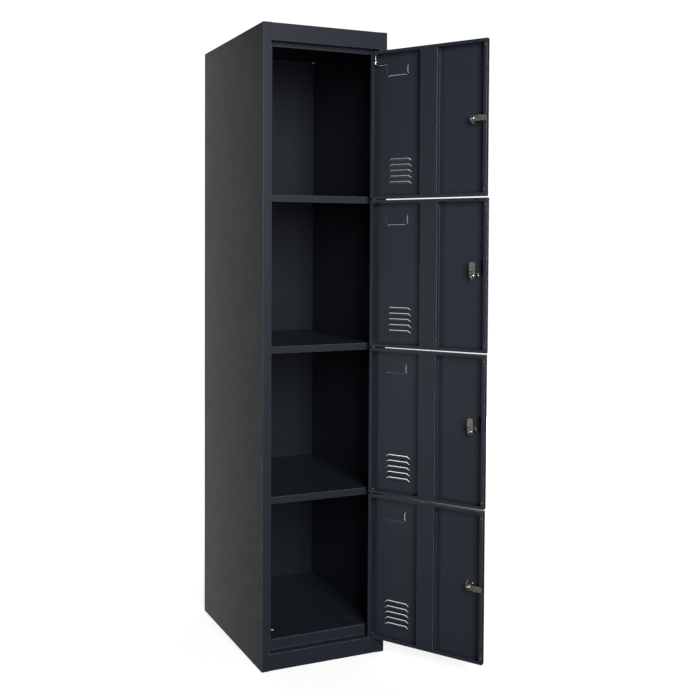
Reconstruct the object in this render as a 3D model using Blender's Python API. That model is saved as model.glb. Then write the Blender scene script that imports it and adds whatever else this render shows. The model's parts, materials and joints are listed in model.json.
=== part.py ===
"""A single-column steel locker with four doors, one above the other, all standing open.

Metres, +Z up. X runs along the front from left to right, and the front faces -Y.
The origin is the middle of the flange that the front of the plinth rests on.
Each door is made in its closed place, measured from its hinge edge, and hangs on an
empty on its hinge line, which turns it open.
"""

import math

import bmesh
import bpy
import numpy as np
from mathutils import Matrix, Vector

MM = 0.001

# Whole cabinet
WIDTH = 385 * MM
DEPTH = 460 * MM
HEIGHT = 1780 * MM
SHEET = 0.8 * MM
GAP = 0.3 * MM
FLANGE = 12 * MM
FOOT_FLANGE = 20 * MM
FRONT = -FOOT_FLANGE / 2
BACK = FRONT + DEPTH

# Front frame: upright jambs, header and plinth round one opening
JAMB = 24.5 * MM
HEADER = 48.5 * MM
PLINTH = 47.5 * MM
STOP_DEPTH = 22.5 * MM
STOP_LIP = 12 * MM
HEADER_LIP = 12.5 * MM
SIDE = WIDTH / 2
OPENING = SIDE - JAMB
INNER = SIDE - SHEET
SHELL_FRONT = FRONT + STOP_DEPTH + SHEET + GAP
SHELL_BACK = BACK - 2 * SHEET - 2 * GAP
NOTCH = 8 * MM

# Doors
DOORS = 4
DOOR_WIDTH = 330 * MM
DOOR_HEIGHT = 416 * MM
DOOR_GAP = 3.5 * MM
DOOR_PITCH = DOOR_HEIGHT + DOOR_GAP
DOOR_BOTTOM = 48.7 * MM
DOOR_THICKNESS = 20 * MM
DOOR_LIP = 9 * MM
SIDE_GAP = 3 * MM
OPEN_ANGLES = (126, 128, 127, 126)

# Hinges
PIVOT_FROM_EDGE = 8 * MM
PIVOT_BEHIND_FACE = 5 * MM
PIVOT_X = OPENING - SIDE_GAP - PIVOT_FROM_EDGE
PIVOT_Y = FRONT + PIVOT_BEHIND_FACE
PIN_RADIUS = 2.5 * MM
PIN_HOLE = PIN_RADIUS + GAP
PIN_REACH = 9 * MM
PIN_CHAMFER = 0.9 * MM
COLLAR_RADIUS = 4.2 * MM
COLLAR = 0.5 * MM
HINGE_PLATE = 1.2 * MM
HINGE_PLATE_LENGTH = 34 * MM
HINGE_PLATE_DEPTH = 11 * MM

# Sprung pin at the top of the top door
TOP_PIN_RADIUS = 2 * MM
TOP_PIN_TOP = 15.3 * MM
TOP_PIN_DROP = 39 * MM
TOP_PIN_ARM = 40 * MM
TOP_PIN_BEND = 4.5 * MM
TOP_BRACKET_DROP = 23 * MM
TOP_BRACKET_LENGTH = 14 * MM
TOP_BRACKET_DEPTH = 9.5 * MM
TOP_BRACKET_FOOT = 8 * MM
TOP_BRACKET = 1.5 * MM
CLIP_RADIUS = 3.6 * MM
CLIP = 1.2 * MM
SPRING_WIRE = 0.45 * MM
SPRING_RADIUS = TOP_PIN_RADIUS + GAP + SPRING_WIRE + 0.1 * MM
SPRING_TURNS = 7

# Shelves, one level with each gap between two doors
SHELF_LIP = 20 * MM
SHELF_ROLL = 12 * MM
FLOOR_TOP = 77.5 * MM
FLOOR_LIP = 17 * MM
FLOOR_HOLE = 4 * MM
FLOOR_HOLE_SIDE = 68 * MM
FLOOR_HOLE_END = 81 * MM

# What is pressed into a door: louvres, a card holder, a stiffener
LOUVRES = 5
LOUVRE_PITCH = 16.1 * MM
LOUVRE_TOP = 111 * MM
LOUVRE_HEIGHT = 8 * MM
LOUVRE_MOUTH = 1.3 * MM
LOUVRE_START = 49 * MM
LOUVRE_LENGTH = 69 * MM
LOUVRE_DEPTH = 3.5 * MM
CARD_START = 50 * MM
CARD_LENGTH = 56.5 * MM
CARD_BOTTOM_DROP = 70 * MM
CARD_HEIGHT = 24 * MM
CARD_SLOT = 1.6 * MM
STIFFENER_START = 149 * MM
STIFFENER_WIDTH = 46 * MM
STIFFENER_FOOT = 10 * MM
HANG_HOLE = 2.3 * MM
HANG_HOLE_FROM_EDGE = 29.5 * MM

# Lock
LOCK_FROM_EDGE = 37 * MM
LOCK_LEVEL = 206.5 * MM
LOCK_HEAD = 11 * MM
LOCK_HEAD_DEPTH = 2.4 * MM
LOCK_BODY = 9 * MM
LOCK_BORE = 5.8 * MM
LOCK_LENGTH = 20 * MM
LOCK_PLUG = 5.5 * MM
LOCK_NUT = 14 * MM
LOCK_NUT_THICKNESS = 4 * MM
PLUG_STUB = 3.1 * MM
PLUG_THREAD = 2.4 * MM
PLUG_THREAD_DEPTH = 8 * MM
SCREW_SHANK = 2 * MM
SCREW_LENGTH = 6 * MM
SCREW_HEAD = 4.8 * MM
SCREW_HEAD_HEIGHT = 4 * MM
SCREW_HEAD_CHAMFER = 0.7 * MM
SCREW_WASHER = 6.3 * MM
WASHER = 0.9 * MM
CAM_WIDTH = 15.5 * MM
CAM_THICKNESS = 2 * MM
CAM_REACH = 37.5 * MM
CAM_SHOULDER = 10 * MM
CAM_CRANK = 3 * MM
CAM_CORNER = 5 * MM
CAM_PLANE = LOCK_LENGTH + 2 * MM
CAM_UP = math.radians(90)
CAM_ANGLES = (0.0, CAM_UP, CAM_UP, 0.0)

# Rubber buffers on the free edge
BUFFER_RADIUS = 4 * MM
BUFFER_FROM_EDGE = 4.3 * MM
BUFFER_FROM_END = 18 * MM


# ---------------------------------------------------------------- making solids

def clear_scene():
    for obj in list(bpy.data.objects):
        bpy.data.objects.remove(obj, do_unlink=True)


def material(name, colour, roughness, metallic):
    made = bpy.data.materials.new(name)
    made.use_nodes = True
    shader = made.node_tree.nodes["Principled BSDF"]
    shader.inputs["Base Color"].default_value = (*colour, 1.0)
    shader.inputs["Roughness"].default_value = roughness
    shader.inputs["Metallic"].default_value = metallic
    return made


def add_object(name, mesh, finish, parent=None):
    """Puts a mesh in the scene as one named piece, under a parent empty if it has one."""
    if not mesh.materials:
        mesh.materials.append(finish)
    obj = bpy.data.objects.new(name, mesh)
    bpy.context.collection.objects.link(obj)
    obj.parent = parent
    return obj


def mesh_from(bm, name):
    bmesh.ops.recalc_face_normals(bm, faces=bm.faces)
    mesh = bpy.data.meshes.new(name)
    bm.to_mesh(mesh)
    bm.free()
    return mesh


def sheet_mesh(name, plates, cuts=()):
    """One closed body from upright boxes ((x0, x1), (y0, y1), (z0, z1)), less the boxes in cuts.

    The boxes' planes divide space into cells, and the skin runs between full and empty cells.
    """
    planes = []
    for axis in range(3):
        ends = {round(end, 7) for block in (*plates, *cuts) for end in block[axis]}
        planes.append(np.array(sorted(ends)))
    full = np.zeros([len(p) + 1 for p in planes], dtype=bool)
    for blocks, state in ((plates, True), (cuts, False)):
        for block in blocks:
            spans = []
            for axis in range(3):
                low, high = (int(np.abs(planes[axis] - end).argmin()) for end in sorted(block[axis]))
                spans.append(slice(low + 1, high + 1))
            full[tuple(spans)] = state
    bm = bmesh.new()
    corners = {}

    def corner(index):
        if index not in corners:
            corners[index] = bm.verts.new([planes[a][index[a]] for a in range(3)])
        return corners[index]

    for axis in range(3):
        near = [slice(None)] * 3
        far = [slice(None)] * 3
        near[axis] = slice(0, -1)
        far[axis] = slice(1, None)
        across, up = [a for a in range(3) if a != axis]
        for cell in np.argwhere(full[tuple(near)] != full[tuple(far)]):
            ring = []
            for step_across, step_up in ((0, 0), (1, 0), (1, 1), (0, 1)):
                index = [0, 0, 0]
                index[axis] = int(cell[axis])
                index[across] = int(cell[across]) - 1 + step_across
                index[up] = int(cell[up]) - 1 + step_up
                ring.append(corner(tuple(index)))
            bm.faces.new(ring)
    bmesh.ops.recalc_face_normals(bm, faces=bm.faces)
    bmesh.ops.dissolve_limit(bm, angle_limit=math.radians(1), verts=bm.verts, edges=bm.edges)
    return mesh_from(bm, name)


def turned_mesh(name, profile, sides, axis="Z", phase=0.0):
    """Turns a closed outline of (radius, height) points round an axis. A radius of 0 closes on the axis."""
    bm = bmesh.new()
    rings = []
    for radius, height in profile:
        if radius == 0:
            rings.append([bm.verts.new((0, 0, height))] * sides)
            continue
        angles = [phase + 2 * math.pi * k / sides for k in range(sides)]
        rings.append([bm.verts.new((radius * math.cos(a), radius * math.sin(a), height)) for a in angles])
    for ring, following in zip(rings, rings[1:] + rings[:1]):
        for k in range(sides):
            loop = (ring[k], ring[(k + 1) % sides], following[(k + 1) % sides], following[k])
            distinct = list(dict.fromkeys(loop))
            if len(distinct) > 2:
                bm.faces.new(distinct)
    if axis == "Y":
        bmesh.ops.transform(bm, matrix=Matrix.Rotation(math.radians(-90), 4, "X"), verts=bm.verts)
    mesh = mesh_from(bm, name)
    mesh.shade_smooth()
    mesh.set_sharp_from_angle(angle=math.radians(35))
    return mesh


def tube_mesh(name, points, radius, sides):
    """A round bar along a line of points, closed at both ends."""
    bm = bmesh.new()
    points = [Vector(p) for p in points]
    heading = (points[1] - points[0]).normalized()
    side = heading.orthogonal().normalized()
    rings = []
    for k, point in enumerate(points):
        new_heading = (points[min(k + 1, len(points) - 1)] - points[max(k - 1, 0)]).normalized()
        side = heading.rotation_difference(new_heading) @ side
        heading = new_heading
        other = heading.cross(side)
        ring = []
        for step in range(sides):
            angle = 2 * math.pi * step / sides
            ring.append(bm.verts.new(point + radius * (math.cos(angle) * side + math.sin(angle) * other)))
        rings.append(ring)
    for ring, following in zip(rings, rings[1:]):
        for k in range(sides):
            bm.faces.new((ring[k], ring[(k + 1) % sides], following[(k + 1) % sides], following[k]))
    bm.faces.new(rings[0])
    bm.faces.new(rings[-1])
    mesh = mesh_from(bm, name)
    mesh.shade_smooth()
    mesh.set_sharp_from_angle(angle=math.radians(35))
    return mesh


def prism_mesh(name, outline, axis, low, high):
    """Draws a flat outline out along an axis. The outline is in the other two axes, in X, Y, Z order."""
    bm = bmesh.new()
    ends = []
    for level in (low, high):
        ring = []
        for first, second in outline:
            place = [first, second]
            place.insert(axis, level)
            ring.append(bm.verts.new(place))
        ends.append(ring)
        bm.faces.new(ring)
    count = len(outline)
    for k in range(count):
        bm.faces.new((ends[0][k], ends[0][(k + 1) % count], ends[1][(k + 1) % count], ends[1][k]))
    return mesh_from(bm, name)


def combine(mesh, other, operation):
    """The exact Boolean of two closed meshes, as a new mesh with the first one's name."""
    body = bpy.data.objects.new("boolean_body", mesh)
    tool = bpy.data.objects.new("boolean_tool", other)
    tool.hide_render = True
    tool.display_type = "WIRE"
    for obj in (body, tool):
        bpy.context.collection.objects.link(obj)
    modifier = body.modifiers.new("cut", "BOOLEAN")
    modifier.operation = operation
    modifier.solver = "EXACT"
    modifier.object = tool
    depsgraph = bpy.context.evaluated_depsgraph_get()
    result = bpy.data.meshes.new_from_object(body.evaluated_get(depsgraph))
    result.materials.clear()
    name = mesh.name
    for obj in (body, tool):
        bpy.data.objects.remove(obj, do_unlink=True)
    bpy.data.meshes.remove(mesh)
    bpy.data.meshes.remove(other)
    result.name = name
    return result


def drill(mesh, centre, radius, length, axis="Z", sides=16):
    """Cuts a round hole that runs half its length to each side of its centre."""
    half = length / 2
    cutter = turned_mesh("drill", [(0, half), (radius, half), (radius, -half), (0, -half)], sides, axis)
    cutter.transform(Matrix.Translation(centre))
    return combine(mesh, cutter, "DIFFERENCE")


# ---------------------------------------------------------------- the cabinet

def across(half, y, z):
    """A block as wide on the left as on the right."""
    return ((-half, half), y, z)


def door_floor(number):
    """The height of a door's lower edge. Door 1 is the top one."""
    return DOOR_BOTTOM + (DOORS - number) * DOOR_PITCH


def shelf_level(number):
    """The middle of a shelf's lip, level with the gap under the door of the same number."""
    return door_floor(number) - DOOR_GAP / 2


def hinge_plate_box(number):
    level = shelf_level(number)
    start = PIVOT_X - PIVOT_FROM_EDGE
    y_start = FRONT + SHEET + GAP
    return (
        (start, start + HINGE_PLATE_LENGTH),
        (y_start, y_start + HINGE_PLATE_DEPTH),
        (level - HINGE_PLATE / 2, level + HINGE_PLATE / 2),
    )


def grown(block, margin):
    return tuple((low - margin, high + margin) for low, high in block)


def side_panel(name, sign, paint):
    """Side wall, jamb and stop lip from one folded sheet. The right one is slotted for the hinge plates."""
    def block(x0, x1, y, z):
        return (tuple(sorted((sign * x0, sign * x1))), y, z)

    lip_top = HEIGHT - HEADER - GAP
    plates = [
        block(INNER, SIDE, (FRONT, BACK), (0, HEIGHT)),
        block(OPENING, SIDE, (FRONT, FRONT + SHEET), (0, HEIGHT)),
        block(OPENING, OPENING + SHEET, (FRONT, FRONT + STOP_DEPTH + SHEET), (0, HEIGHT - SHEET - GAP)),
        block(
            OPENING - STOP_LIP,
            OPENING + SHEET,
            (FRONT + STOP_DEPTH, FRONT + STOP_DEPTH + SHEET),
            (FLOOR_TOP + GAP, lip_top),
        ),
        block(SIDE - FLANGE, SIDE, (BACK - SHEET, BACK), (0, HEIGHT)),
    ]
    slots = []
    if sign > 0:
        slots = [grown(hinge_plate_box(n), GAP) for n in range(1, DOORS)]
    add_object(name, sheet_mesh(name, plates, slots), paint)


def back_panel(paint):
    y = (BACK - 2 * SHEET - GAP, BACK - SHEET - GAP)
    mesh = sheet_mesh("back_panel", [across(INNER - GAP, y, (0, HEIGHT - SHEET - GAP))])
    add_object("back_panel", mesh, paint)


def tray_plates(top, turned_down):
    """A level sheet between the side walls, with its side and back edges turned down."""
    half = INNER - GAP
    plates = [
        across(half, (SHELL_FRONT, SHELL_BACK), (top - SHEET, top)),
        across(half - FLANGE, (SHELL_BACK - SHEET, SHELL_BACK), (top - turned_down, top)),
    ]
    for sign in (-1, 1):
        x = tuple(sorted((sign * (half - SHEET), sign * half)))
        plates.append((x, (SHELL_FRONT + FLANGE, SHELL_BACK - FLANGE), (top - turned_down, top)))
    return plates


def corner_notches(top):
    """Bend reliefs in the two back corners of a level sheet."""
    half = INNER - GAP
    z = (top - SHEET, top)
    y = (SHELL_BACK - NOTCH, SHELL_BACK)
    return [((-half, NOTCH - half), y, z), ((half - NOTCH, half), y, z)]


def top_panel(paint):
    """Roof and header from one sheet, with a stop lip behind the header."""
    half = OPENING - GAP
    low = HEIGHT - HEADER
    lip_y = (SHELL_FRONT, SHELL_FRONT + SHEET)
    plates = tray_plates(HEIGHT, FLANGE) + [
        across(INNER - GAP, (FRONT + SHEET + GAP, SHELL_FRONT), (HEIGHT - SHEET, HEIGHT)),
        across(half, (FRONT, FRONT + 2 * SHEET), (HEIGHT - SHEET, HEIGHT)),
        across(half, (FRONT, FRONT + SHEET), (low, HEIGHT)),
        across(half, (FRONT, SHELL_FRONT + SHEET), (low, low + SHEET)),
        across(half, lip_y, (low + SHEET - HEADER_LIP, low + SHEET)),
    ]
    mesh = sheet_mesh("top_panel", plates, corner_notches(HEIGHT))
    hole = (PIVOT_X, PIVOT_Y, low)
    mesh = drill(mesh, hole, TOP_PIN_RADIUS + GAP, 4 * SHEET)
    add_object("top_panel", mesh, paint)


def floor_tray(paint):
    lip = across(INNER - GAP, (SHELL_FRONT, SHELL_FRONT + SHEET), (FLOOR_TOP - FLOOR_LIP, FLOOR_TOP))
    mesh = sheet_mesh("floor_tray", tray_plates(FLOOR_TOP, FLANGE) + [lip], corner_notches(FLOOR_TOP))
    for x in (FLOOR_HOLE_SIDE - SIDE, SIDE - FLOOR_HOLE_SIDE):
        for y in (FRONT + FLOOR_HOLE_END, BACK - FLOOR_HOLE_END):
            mesh = drill(mesh, (x, y, FLOOR_TOP), FLOOR_HOLE, 4 * SHEET)
    add_object("floor_tray", mesh, paint)


def base_plinth(paint):
    """Plinth face with the flange it rests on, a ledge behind it and a riser behind the floor's lip."""
    half = OPENING - GAP
    riser = SHELL_FRONT + SHEET + GAP
    plates = [
        across(half, (FRONT, FRONT + FOOT_FLANGE), (0, SHEET)),
        across(half, (FRONT, FRONT + SHEET), (0, PLINTH)),
        across(half, (FRONT, riser + SHEET), (PLINTH - SHEET, PLINTH)),
        across(half, (riser, riser + SHEET), (PLINTH - SHEET, FLOOR_TOP - SHEET - GAP)),
    ]
    mesh = sheet_mesh("base_plinth", plates)
    mesh = drill(mesh, (PIVOT_X, PIVOT_Y, PLINTH), PIN_HOLE, 4 * SHEET)
    add_object("base_plinth", mesh, paint)


def shelf(number, paint):
    """A shelf with a deep front lip, rolled back along its lower edge."""
    level = shelf_level(number)
    low = level - SHELF_LIP / 2
    top = level + SHELF_LIP / 2
    half = INNER - GAP
    plates = tray_plates(top, FLANGE) + [
        across(half, (SHELL_FRONT, SHELL_FRONT + SHEET), (low, top)),
        across(half, (SHELL_FRONT, SHELL_FRONT + SHELF_ROLL), (low, low + SHEET)),
    ]
    name = f"shelf_{number}"
    add_object(name, sheet_mesh(name, plates, corner_notches(top)), paint)


# ---------------------------------------------------------------- hinges

def hinge_plate(number, steel):
    name = f"hinge_plate_{number}"
    mesh = sheet_mesh(name, [hinge_plate_box(number)])
    mesh = drill(mesh, (PIVOT_X, PIVOT_Y, shelf_level(number)), PIN_HOLE, 3 * HINGE_PLATE)
    add_object(name, mesh, steel)


def pin_end(reach):
    """Half of a pin's outline: a chamfered end."""
    return [(PIN_RADIUS, reach - PIN_CHAMFER), (PIN_RADIUS - PIN_CHAMFER, reach), (0, reach)]


def hinge_pins(steel):
    """A pin through each hinge plate, which turns in the doors above and below, and one in the plinth's ledge."""
    reach = DOOR_GAP / 2 + PIN_REACH
    seat = HINGE_PLATE / 2 + GAP
    profile = [
        (0, -reach),
        (PIN_RADIUS, -reach),
        (PIN_RADIUS, seat),
        (COLLAR_RADIUS, seat),
        (COLLAR_RADIUS, seat + COLLAR),
        (PIN_RADIUS, seat + COLLAR),
        *pin_end(reach),
    ]
    double_pin = turned_mesh("hinge_pin", profile, 16)
    for number in range(1, DOORS):
        pin = add_object(f"hinge_pin_{number}", double_pin, steel)
        pin.location = (PIVOT_X, PIVOT_Y, shelf_level(number))

    rise = DOOR_BOTTOM - PLINTH + PIN_REACH
    profile = [
        (0, -SHEET - GAP - COLLAR),
        (COLLAR_RADIUS, -SHEET - GAP - COLLAR),
        (COLLAR_RADIUS, -SHEET - GAP),
        (PIN_RADIUS, -SHEET - GAP),
        (PIN_RADIUS, GAP),
        (COLLAR_RADIUS, GAP),
        (COLLAR_RADIUS, GAP + COLLAR),
        (PIN_RADIUS, GAP + COLLAR),
        *pin_end(rise),
    ]
    foot_pin = add_object(f"hinge_pin_{DOORS}", turned_mesh("foot_pin", profile, 16), steel)
    foot_pin.location = (PIVOT_X, PIVOT_Y, PLINTH)


def top_hinge(door, steel, chrome):
    """The sprung L-shaped pin that holds the top door: bracket, pin, clip and spring.

    Heights are measured down from the door's upper edge, on the hinge line.
    """
    flange_under = DOOR_HEIGHT - SHEET
    bracket_top = DOOR_HEIGHT - TOP_BRACKET_DROP
    length = (PIVOT_FROM_EDGE - SHEET - GAP, PIVOT_FROM_EDGE - SHEET - GAP - TOP_BRACKET_LENGTH)
    face = SHEET + GAP - PIVOT_BEHIND_FACE
    plates = [
        (length, (face, face + TOP_BRACKET_DEPTH), (bracket_top - TOP_BRACKET, bracket_top)),
        (length, (face, face + SHEET), (bracket_top - TOP_BRACKET_FOOT, bracket_top)),
    ]
    bracket = sheet_mesh("top_hinge_bracket", plates)
    bracket = drill(bracket, (0, 0, bracket_top), TOP_PIN_RADIUS + GAP, 4 * TOP_BRACKET)
    add_object("top_hinge_bracket", bracket, steel, door)

    low = DOOR_HEIGHT - TOP_PIN_DROP
    points = [(0, 0, DOOR_HEIGHT + TOP_PIN_TOP)]
    for step in range(7):
        turn = math.radians(90) * step / 6
        points.append((-TOP_PIN_BEND * (1 - math.cos(turn)), 0, low + TOP_PIN_BEND * (1 - math.sin(turn))))
    points.append((-TOP_PIN_ARM, 0, low))
    add_object("top_hinge_pin", tube_mesh("top_hinge_pin", points, TOP_PIN_RADIUS, 12), chrome, door)

    clip_top = flange_under - GAP
    hole = TOP_PIN_RADIUS + GAP
    ring = [(hole, clip_top), (CLIP_RADIUS, clip_top), (CLIP_RADIUS, clip_top - CLIP), (hole, clip_top - CLIP)]
    add_object("top_hinge_clip", turned_mesh("top_hinge_clip", ring, 16), chrome, door)

    start = bracket_top + GAP + SPRING_WIRE
    end = clip_top - CLIP - GAP - SPRING_WIRE
    steps = 10 * SPRING_TURNS
    coil = []
    for step in range(steps + 1):
        turn = 2 * math.pi * SPRING_TURNS * step / steps
        height = start + (end - start) * step / steps
        coil.append((SPRING_RADIUS * math.cos(turn), SPRING_RADIUS * math.sin(turn), height))
    add_object("top_hinge_spring", tube_mesh("top_hinge_spring", coil, SPRING_WIRE, 6), chrome, door)


# ---------------------------------------------------------------- doors

def in_door(from_edge, from_face, height):
    """A block of a door, closed, measured from its hinge edge and its outer face, round the hinge line."""
    x = tuple(sorted(PIVOT_FROM_EDGE - u for u in from_edge))
    y = tuple(v - PIVOT_BEHIND_FACE for v in from_face)
    return (x, y, height)


def door_point(from_edge, from_face, height):
    return (PIVOT_FROM_EDGE - from_edge, from_face - PIVOT_BEHIND_FACE, height)


def louvre(top):
    """A pressed-in louvre: the hood stands behind the face and is open along its upper edge."""
    start = LOUVRE_START
    end = start + LOUVRE_LENGTH
    low = top - LOUVRE_HEIGHT
    rim = top - LOUVRE_MOUTH
    deep = (0, LOUVRE_DEPTH)
    plates = [
        in_door((start - SHEET, end + SHEET), (LOUVRE_DEPTH - SHEET, LOUVRE_DEPTH), (low - SHEET, rim)),
        in_door((start - SHEET, end + SHEET), deep, (low - SHEET, low)),
        in_door((start - SHEET, start), deep, (low - SHEET, rim)),
        in_door((end, end + SHEET), deep, (low - SHEET, rim)),
    ]
    opening = in_door((start, end), (0, LOUVRE_DEPTH - SHEET), (low, top))
    return plates, opening


def door_pan_mesh():
    """A door's pan: the face, its edges turned back, and a lip turned in all round."""
    whole = (0, DOOR_WIDTH)
    height = (0, DOOR_HEIGHT)
    lip = (DOOR_THICKNESS - SHEET, DOOR_THICKNESS)
    deep = (0, DOOR_THICKNESS)
    plates = [in_door(whole, (0, SHEET), height)]
    for start, end, inner in ((0, SHEET, DOOR_LIP), (DOOR_WIDTH, DOOR_WIDTH - SHEET, DOOR_WIDTH - DOOR_LIP)):
        plates.append(in_door((start, end), deep, height))
        plates.append(in_door((start, inner), lip, height))
    for start, end, inner in ((0, SHEET, DOOR_LIP), (DOOR_HEIGHT, DOOR_HEIGHT - SHEET, DOOR_HEIGHT - DOOR_LIP)):
        plates.append(in_door(whole, deep, tuple(sorted((start, end)))))
        plates.append(in_door(whole, lip, tuple(sorted((start, inner)))))

    cuts = []
    for number in range(LOUVRES):
        hood, opening = louvre(LOUVRE_TOP - number * LOUVRE_PITCH)
        plates += hood
        cuts.append(opening)
    card_low = DOOR_HEIGHT - CARD_BOTTOM_DROP
    card_end = CARD_START + CARD_LENGTH
    through = (0, SHEET)
    upright = (card_low + 2 * CARD_SLOT, card_low + CARD_HEIGHT)
    cuts.append(in_door((CARD_START + 2 * CARD_SLOT, card_end - 2 * CARD_SLOT), through,
                        (card_low, card_low + CARD_SLOT)))
    cuts.append(in_door((CARD_START, CARD_START + CARD_SLOT), through, upright))
    cuts.append(in_door((card_end - CARD_SLOT, card_end), through, upright))

    mesh = sheet_mesh("door_pan", plates, cuts)
    for level in (0, DOOR_HEIGHT):
        mesh = drill(mesh, (0, 0, level), PIN_HOLE, 4 * SHEET)
    lock = door_point(DOOR_WIDTH - LOCK_FROM_EDGE, 0, LOCK_LEVEL)
    mesh = drill(mesh, lock, LOCK_BODY + GAP, 4 * SHEET, "Y", 24)
    hang = door_point(DOOR_WIDTH - HANG_HOLE_FROM_EDGE, DOOR_THICKNESS, DOOR_HEIGHT - DOOR_LIP / 2)
    return drill(mesh, hang, HANG_HOLE, 4 * SHEET, "Y", 12)


def stiffener_mesh():
    """A hat-shaped channel behind the face, level with the lips."""
    start = STIFFENER_START
    end = start + STIFFENER_WIDTH
    foot = (SHEET + GAP, 2 * SHEET + GAP)
    deep = (SHEET + GAP, DOOR_THICKNESS)
    height = (DOOR_LIP + GAP, DOOR_HEIGHT - DOOR_LIP - GAP)
    plates = [
        in_door((start, end), (DOOR_THICKNESS - SHEET, DOOR_THICKNESS), height),
        in_door((start, start + SHEET), deep, height),
        in_door((end - SHEET, end), deep, height),
        in_door((start - STIFFENER_FOOT, start + SHEET), foot, height),
        in_door((end - SHEET, end + STIFFENER_FOOT), foot, height),
    ]
    return sheet_mesh("stiffener", plates)


def buffer_mesh():
    low = DOOR_THICKNESS + GAP
    high = STOP_DEPTH - GAP
    shoulder = BUFFER_RADIUS * 0.75
    return turned_mesh("buffer", [(0, low), (BUFFER_RADIUS, low), (BUFFER_RADIUS, (low + high) / 2),
                                  (shoulder, high), (0, high)], 16, "Y")


# ---------------------------------------------------------------- locks

def lock_housing_mesh():
    """A flanged barrel through the door's face. Heights run inward from the face."""
    profile = [
        (LOCK_BORE, -LOCK_HEAD_DEPTH),
        (LOCK_HEAD, -LOCK_HEAD_DEPTH),
        (LOCK_HEAD, -GAP),
        (LOCK_BODY, -GAP),
        (LOCK_BODY, LOCK_LENGTH),
        (LOCK_BORE, LOCK_LENGTH),
    ]
    return turned_mesh("lock_housing", profile, 24, "Y")


def lock_nut_mesh():
    """A hexagonal nut behind the face."""
    low = SHEET + GAP
    high = low + LOCK_NUT_THICKNESS
    hexagon = [(LOCK_NUT * math.cos(math.radians(60 * k)), LOCK_NUT * math.sin(math.radians(60 * k)))
               for k in range(6)]
    mesh = prism_mesh("lock_nut", hexagon, 1, low, high)
    return drill(mesh, (0, (low + high) / 2, 0), LOCK_BODY + GAP, 3 * LOCK_NUT_THICKNESS, "Y", 24)


def lock_plug_mesh():
    """The plug that the key turns, with a hollow stub for the cam's screw."""
    shoulder = CAM_PLANE - GAP
    stub = CAM_PLANE + CAM_THICKNESS
    profile = [
        (0, -LOCK_HEAD_DEPTH + GAP),
        (LOCK_PLUG, -LOCK_HEAD_DEPTH + GAP),
        (LOCK_PLUG, shoulder),
        (PLUG_STUB, shoulder),
        (PLUG_STUB, stub),
        (PLUG_THREAD, stub),
        (PLUG_THREAD, stub - PLUG_THREAD_DEPTH),
        (0, stub - PLUG_THREAD_DEPTH),
    ]
    return turned_mesh("lock_plug", profile, 20, "Y")


def cam_mesh():
    """A cranked cam that points at the door's free edge: a bent strip with round ends and a hole."""
    half = CAM_WIDTH / 2
    low = CAM_PLANE
    high = low + CAM_THICKNESS
    bend = CAM_SHOULDER + CAM_CRANK
    strip = [
        (half, low),
        (half, high),
        (-CAM_SHOULDER, high),
        (-bend, high + CAM_CRANK),
        (-CAM_REACH, high + CAM_CRANK),
        (-CAM_REACH, low + CAM_CRANK),
        (-bend, low + CAM_CRANK),
        (-CAM_SHOULDER, low),
    ]
    mesh = prism_mesh("cam", strip, 2, -half, half)
    outline = []
    for step in range(13):
        turn = math.radians(-90 + 180 * step / 12)
        outline.append((half * math.cos(turn), half * math.sin(turn)))
    for quarter, sign in ((90, 1), (180, -1)):
        for step in range(7):
            turn = math.radians(quarter + 90 * step / 6)
            outline.append((CAM_CORNER - CAM_REACH + CAM_CORNER * math.cos(turn),
                            sign * (half - CAM_CORNER) + CAM_CORNER * math.sin(turn)))
    shape = prism_mesh("cam_outline", outline, 1, low - CAM_THICKNESS, high + CAM_CRANK + CAM_THICKNESS)
    mesh = combine(mesh, shape, "INTERSECT")
    return drill(mesh, (0, (low + high) / 2, 0), PLUG_STUB + GAP, 3 * CAM_THICKNESS, "Y", 20)


def cam_screw_mesh():
    under = CAM_PLANE + CAM_THICKNESS + GAP
    end = under - SCREW_LENGTH
    top = under + SCREW_HEAD_HEIGHT
    profile = [
        (0, end),
        (SCREW_SHANK, end),
        (SCREW_SHANK, under),
        (SCREW_WASHER, under),
        (SCREW_WASHER, under + WASHER),
        (SCREW_HEAD, under + WASHER),
        (SCREW_HEAD, top - SCREW_HEAD_CHAMFER),
        (SCREW_HEAD - SCREW_HEAD_CHAMFER, top),
        (0, top),
    ]
    return turned_mesh("cam_screw", profile, 18, "Y")


def pivot_empty(name, location, parent=None):
    empty = bpy.data.objects.new(name, None)
    bpy.context.collection.objects.link(empty)
    empty.parent = parent
    empty.location = location
    return empty


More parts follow.
